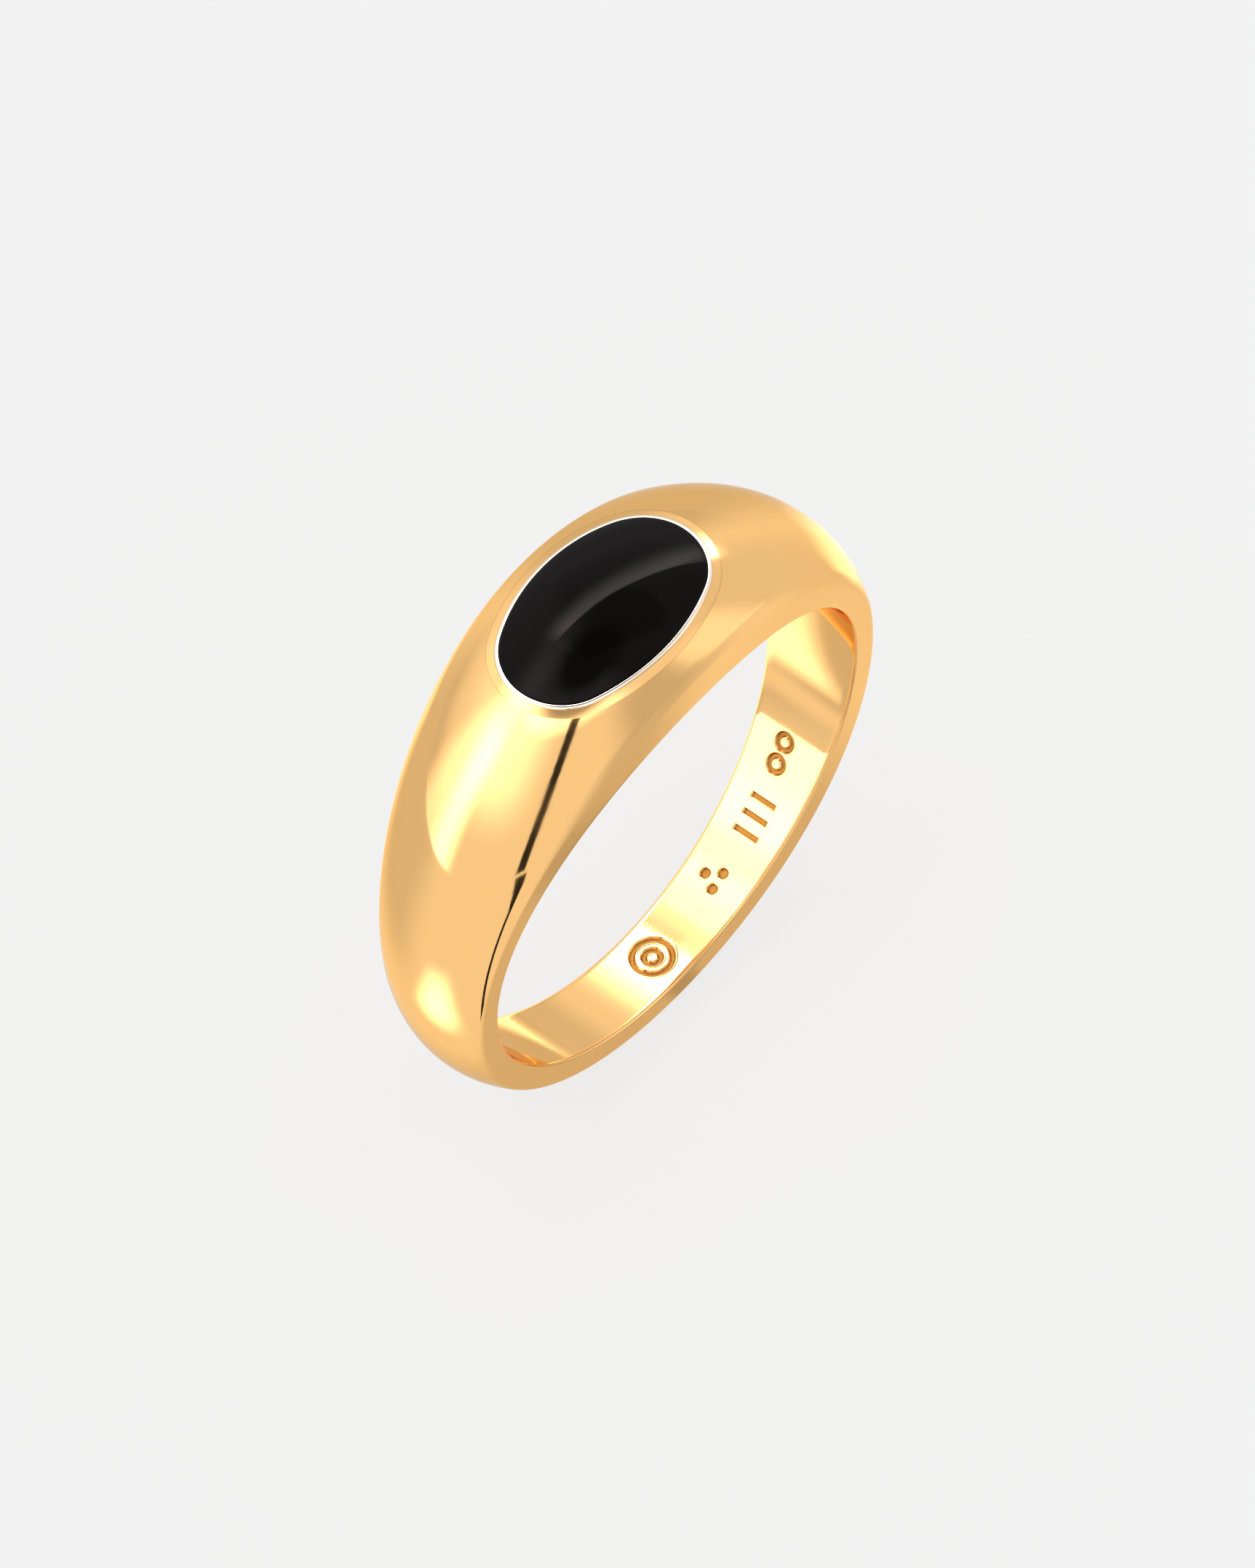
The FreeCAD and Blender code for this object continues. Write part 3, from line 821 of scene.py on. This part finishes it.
tent = bpy.data.worlds.new("light_tent")
tent.use_nodes = True
tree = tent.node_tree
tree.nodes.clear()
output = tree.nodes.new("ShaderNodeOutputWorld")
place = tree.nodes.new("ShaderNodeTexCoord")
flat = heading(tree, place.outputs["Generated"])
split = tree.nodes.new("ShaderNodeSeparateXYZ")
link(tree, place.outputs["Generated"], split.inputs[0])
height = calculate(tree, "MULTIPLY", calculate(tree, "ARCSINE", split.outputs[2]), 180 / math.pi)
tone = calculate(tree, "ADD", TENT_TONE, 0.0)
for *where, kept in DULL:
    tone = darkened(tree, tone, stretch(tree, flat, height, *where), kept)
for *where, added in BRIGHT:
    lit = calculate(tree, "MULTIPLY", stretch(tree, flat, height, *where), added)
    tone = calculate(tree, "ADD", tone, lit)
strip = stretch(tree, flat, height, *STRIP)
back_side = ramp(tree, split.outputs[1], STRIP_FROM - STRIP_FADE, STRIP_FROM)
strip = calculate(tree, "MULTIPLY", strip, back_side)
back_side = ramp(tree, split.outputs[1], STRIP_TO, STRIP_TO + STRIP_FADE, 1.0, 0.0)
strip = calculate(tree, "MULTIPLY", strip, back_side)
tone = calculate(tree, "ADD", tone, calculate(tree, "MULTIPLY", strip, STRIP_TONE))
over_hem = tree.nodes.new("ShaderNodeVectorMath")
over_hem.operation = "DOT_PRODUCT"
link(tree, place.outputs["Generated"], over_hem.inputs[0])
over_hem.inputs[1].default_value = HEM_FACES
over_hem = over_hem.outputs["Value"]
lit = calculate(tree, "POWER", ramp(tree, over_hem, HEM_REACH, HEM_AT), HEM_CURVE)
lit = calculate(tree, "MULTIPLY", lit, ramp(tree, over_hem, HEM_AT, HEM_AT + HEM_SOFT, 1.0, 0.0))
lit = calculate(tree, "MULTIPLY", lit, stretch(tree, flat, height, *HEM_LIT))
tone = calculate(tree, "ADD", tone, calculate(tree, "MULTIPLY", lit, HEM_TONE))
dark = ramp(tree, over_hem, HEM_AT, HEM_AT + HEM_SOFT)
dark = calculate(tree, "MULTIPLY", dark, stretch(tree, flat, height, *HEM_DARK))
tone = darkened(tree, tone, dark, HEM_KEPT)
foot, top = (
    Vector((
        math.sin(math.radians(turn)) * math.cos(math.radians(rise)),
        -math.cos(math.radians(turn)) * math.cos(math.radians(rise)),
        math.sin(math.radians(rise)),
    ))
    for turn, rise in (STAND_FOOT, STAND_TOP)
)
aside = tree.nodes.new("ShaderNodeVectorMath")
aside.operation = "DOT_PRODUCT"
link(tree, place.outputs["Generated"], aside.inputs[0])
aside.inputs[1].default_value = foot.cross(top).normalized()
aside = calculate(tree, "MULTIPLY", calculate(tree, "ABSOLUTE", aside.outputs["Value"]), 180 / math.pi)
stand = ramp(tree, aside, STAND_HALF, STAND_HALF + STAND_FADE, 1.0, 0.0)
in_front = stretch(tree, flat, height, *STAND_STRETCH)
tone = darkened(tree, tone, calculate(tree, "MULTIPLY", stand, in_front), STAND_KEPT)

seen_tent = tree.nodes.new("ShaderNodeBackground")
link(tree, tone, seen_tent.inputs["Strength"])
seen_tent.inputs["Color"].default_value = (1, 1, 1, 1)
backdrop = tree.nodes.new("ShaderNodeBackground")
backdrop.inputs["Color"].default_value = (1, 1, 1, 1)
backdrop.inputs["Strength"].default_value = FLOOR_TONE
path = tree.nodes.new("ShaderNodeLightPath")
choose = tree.nodes.new("ShaderNodeMixShader")
link(tree, path.outputs["Is Glossy Ray"], choose.inputs[0])
link(tree, backdrop.outputs[0], choose.inputs[1])
link(tree, seen_tent.outputs[0], choose.inputs[2])
link(tree, choose.outputs[0], output.inputs["Surface"])
bpy.context.scene.world = tent

# ---------------------------------------------------------------------------------------------
# Camera. It looks down on the head from the front and left, with a long lens.

CAMERA_AZIMUTH = -42.85
CAMERA_HEIGHT = 55.65
CAMERA_ROLL = -8.05
CAMERA_DISTANCE = 1131.0
LENS = 792.6
AIM_RIGHT, AIM_UP = -0.10, 0.65

azimuth, elevation = math.radians(CAMERA_AZIMUTH), math.radians(CAMERA_HEIGHT)
back = Vector((
    math.sin(azimuth) * math.cos(elevation),
    -math.cos(azimuth) * math.cos(elevation),
    math.sin(elevation),
))
turn = back.to_track_quat("Z", "Y").to_matrix() @ Matrix.Rotation(math.radians(CAMERA_ROLL), 3, "Z")
lens = bpy.data.cameras.new("camera")
lens.lens = LENS
lens.sensor_width = 36.0
lens.clip_end = 100.0
camera = bpy.data.objects.new("camera", lens)
aim = turn @ Vector((AIM_RIGHT, AIM_UP, 0.0))
camera.matrix_world = Matrix.Translation((aim + back * CAMERA_DISTANCE) * MM) @ turn.to_4x4()
bpy.context.scene.collection.objects.link(camera)
bpy.context.scene.camera = camera
bpy.context.scene.view_settings.view_transform = "Standard"
